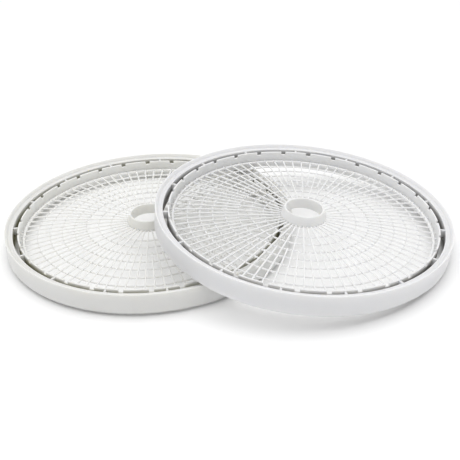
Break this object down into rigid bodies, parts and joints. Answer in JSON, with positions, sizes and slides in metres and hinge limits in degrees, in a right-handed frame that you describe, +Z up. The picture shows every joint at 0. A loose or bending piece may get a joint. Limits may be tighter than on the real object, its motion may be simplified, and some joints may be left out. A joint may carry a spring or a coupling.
{
  "type": "food dehydrator trays",
  "caption": "Round stackable food dehydrator trays with crowned mesh floors, raised air hubs and stepped rims, resting against each other.",
  "frame": {"origin": "on the floor, under the middle of the pair", "axes": "+X from the lower tray's centre to the leaning tray's centre, +Y to the back, +Z up"},
  "size_m": [0.5284, 0.343, 0.0663],
  "materials": {
    "lower_tray_plastic": "satin, fine moulded texture",
    "leaning_tray_plastic": "satin, fine moulded texture"
  },
  "bodies": {
    "lower_tray": {"lower_outer_wall": "lower_tray_plastic", "lower_stacking_ledge": "lower_tray_plastic", "lower_nesting_skirt": "lower_tray_plastic", "lower_channel_ribs": "lower_tray_plastic", "lower_basket_wall": "lower_tray_plastic", "lower_grid_rim": "lower_tray_plastic", "lower_rim_ties": "lower_tray_plastic", "lower_long_spokes": "lower_tray_plastic", "lower_short_spokes": "lower_tray_plastic", "lower_hub_foot": "lower_tray_plastic", "lower_hub_collar": "lower_tray_plastic", "lower_grid_ring_1": "lower_tray_plastic", "lower_grid_ring_2": "lower_tray_plastic", "lower_grid_ring_3": "lower_tray_plastic", "lower_grid_ring_4": "lower_tray_plastic", "lower_grid_ring_5": "lower_tray_plastic", "lower_grid_ring_6": "lower_tray_plastic", "lower_grid_ring_7": "lower_tray_plastic"},
    "leaning_tray": {"leaning_outer_wall": "leaning_tray_plastic", "leaning_stacking_ledge": "leaning_tray_plastic", "leaning_nesting_skirt": "leaning_tray_plastic", "leaning_channel_ribs": "leaning_tray_plastic", "leaning_basket_wall": "leaning_tray_plastic", "leaning_grid_rim": "leaning_tray_plastic", "leaning_rim_ties": "leaning_tray_plastic", "leaning_long_spokes": "leaning_tray_plastic", "leaning_short_spokes": "leaning_tray_plastic", "leaning_hub_foot": "leaning_tray_plastic", "leaning_hub_collar": "leaning_tray_plastic", "leaning_grid_ring_1": "leaning_tray_plastic", "leaning_grid_ring_2": "leaning_tray_plastic", "leaning_grid_ring_3": "leaning_tray_plastic", "leaning_grid_ring_4": "leaning_tray_plastic", "leaning_grid_ring_5": "leaning_tray_plastic", "leaning_grid_ring_6": "leaning_tray_plastic", "leaning_grid_ring_7": "leaning_tray_plastic"}
  },
  "joints": [
    {"name": "tray_lift", "type": "slide", "parent": "lower_tray", "child": "leaning_tray", "axis": [0, 0, 1], "range_m": [0, 0.15]}
  ]
}
